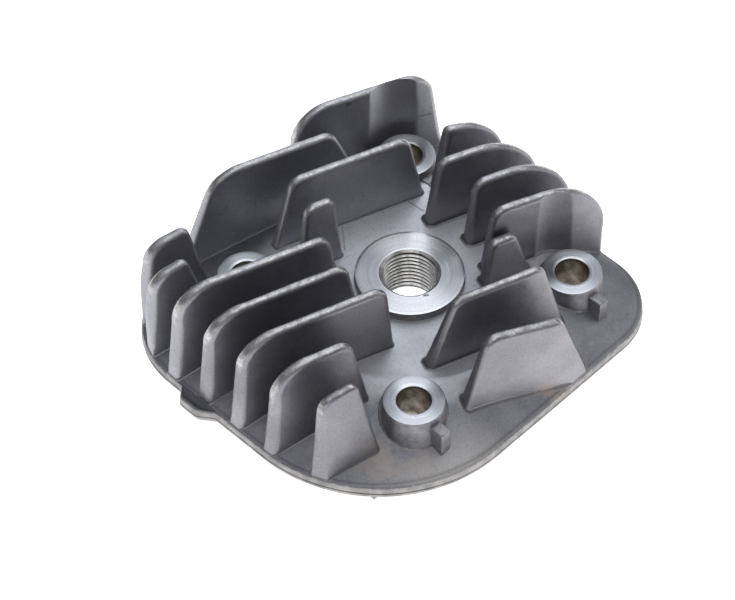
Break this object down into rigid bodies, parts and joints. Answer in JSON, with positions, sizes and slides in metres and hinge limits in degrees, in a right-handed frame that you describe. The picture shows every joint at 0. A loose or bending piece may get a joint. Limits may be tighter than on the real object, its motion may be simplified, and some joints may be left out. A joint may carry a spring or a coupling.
{
  "type": "cylinder head",
  "caption": "Air-cooled small-engine cylinder head: slanted upright fins on a flange plate, threaded central plug boss, plain stud holes and a combustion bowl below.",
  "frame": {"origin": "centre of the stud pattern on the machined joint face, on the plug axis", "axes": "+Z along the plug axis away from the cylinder; X and Y along the sides of the square stud pattern; the fins run 19 degrees clockwise from +X"},
  "size_m": [0.1028, 0.0931, 0.0364],
  "materials": {
    "cast_deck": "as cast, fine grain, tumbled",
    "cast_fins": "as cast, dark grey with worn bright edges",
    "machined": "turned faces, bright"
  },
  "bodies": {
    "root": {"flange": "cast_deck", "head_core": "cast_deck", "plug_boss": "machined", "stud_boss_front": "machined", "stud_boss_right": "machined", "stud_boss_back": "machined", "stud_boss_left": "machined", "lug_front": "cast_deck", "lug_right": "cast_deck", "lug_back": "cast_deck", "locating_ear": "cast_deck", "fin_left_1": "cast_fins", "fin_left_2": "cast_fins", "fin_left_3": "cast_fins", "fin_left_4": "cast_fins", "fin_left_5": "cast_fins", "fin_left_6": "cast_fins", "fin_left_7": "cast_fins", "fin_back_1": "cast_fins", "fin_back_2": "cast_fins", "fin_back_3": "cast_fins", "fin_back_stub": "cast_fins", "fin_right_1": "cast_fins", "fin_right_2": "cast_fins", "fin_right_3": "cast_fins", "fin_right_4": "cast_fins", "fin_right_stub": "cast_fins", "fin_front_1": "cast_fins", "fin_front_2": "cast_fins"}
  },
  "joints": []
}
